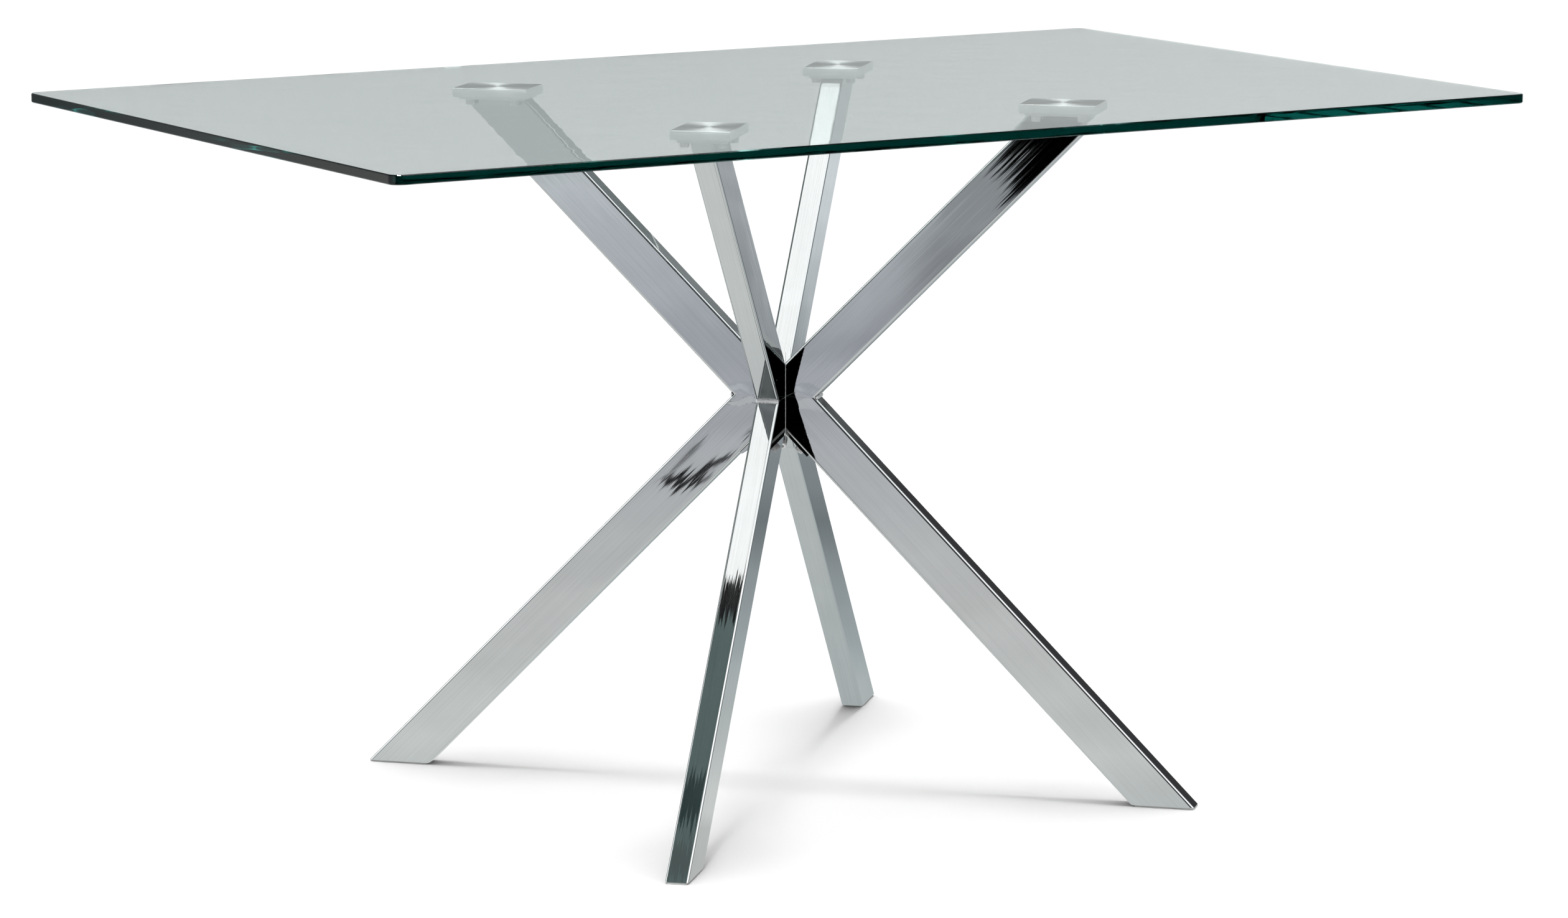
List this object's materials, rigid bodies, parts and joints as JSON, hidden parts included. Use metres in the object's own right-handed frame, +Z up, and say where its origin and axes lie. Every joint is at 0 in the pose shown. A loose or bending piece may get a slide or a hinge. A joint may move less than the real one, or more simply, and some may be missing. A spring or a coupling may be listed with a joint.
{
  "type": "dining table",
  "caption": "Rectangular clear glass dining table on a chromed starburst base of V-shaped tube frames that meet at the centre, with bonded aluminium pads under the glass.",
  "frame": {"origin": "on the floor, under the centre of the glass and of the base", "axes": "+X along the long side of the glass, +Y along the short side, +Z up; the front is -Y"},
  "size_m": [1.37, 0.85, 0.76],
  "materials": {
    "clear_glass": "polished tempered float glass, green at the edges",
    "brushed_aluminium": "spun-brushed top face, satin sides",
    "satin_steel": "plated, satin",
    "screw_steel": "zinc plated, knurled heads",
    "nut_steel": "plain zinc plated",
    "chrome_tube": "mirror chrome plate over polished tube, faint lengthwise polishing lines",
    "chrome_weld": "chrome plate over a weld bead",
    "chrome_bracket": "chrome plate over folded sheet",
    "glide_plastic": "translucent moulded plastic"
  },
  "bodies": {
    "root": {"glass_top": "clear_glass", "hub_bracket": "chrome_bracket", "hub_screws": "screw_steel", "hub_nuts": "nut_steel", "glass_pad_rear_right": "brushed_aluminium", "glass_pad_rear_left": "brushed_aluminium", "glass_pad_front_left": "brushed_aluminium", "glass_pad_front_right": "brushed_aluminium", "mounting_plate_rear_right": "satin_steel", "mounting_plate_rear_left": "satin_steel", "mounting_plate_front_left": "satin_steel", "mounting_plate_front_right": "satin_steel", "plate_screws_rear_right": "screw_steel", "plate_screws_rear_left": "screw_steel", "plate_screws_front_left": "screw_steel", "plate_screws_front_right": "screw_steel", "upper_arm_rear_right": "chrome_tube", "upper_arm_rear_left": "chrome_tube", "upper_arm_front_left": "chrome_tube", "upper_arm_front_right": "chrome_tube", "lower_leg_rear_right": "chrome_tube", "lower_leg_rear_left": "chrome_tube", "lower_leg_front_left": "chrome_tube", "lower_leg_front_right": "chrome_tube", "elbow_weld_rear_right": "chrome_weld", "elbow_weld_rear_left": "chrome_weld", "elbow_weld_front_left": "chrome_weld", "elbow_weld_front_right": "chrome_weld", "foot_plate_rear_right": "chrome_tube", "foot_plate_rear_left": "chrome_tube", "foot_plate_front_left": "chrome_tube", "foot_plate_front_right": "chrome_tube", "foot_glide_rear_right": "glide_plastic", "foot_glide_rear_left": "glide_plastic", "foot_glide_front_left": "glide_plastic", "foot_glide_front_right": "glide_plastic"}
  },
  "joints": []
}
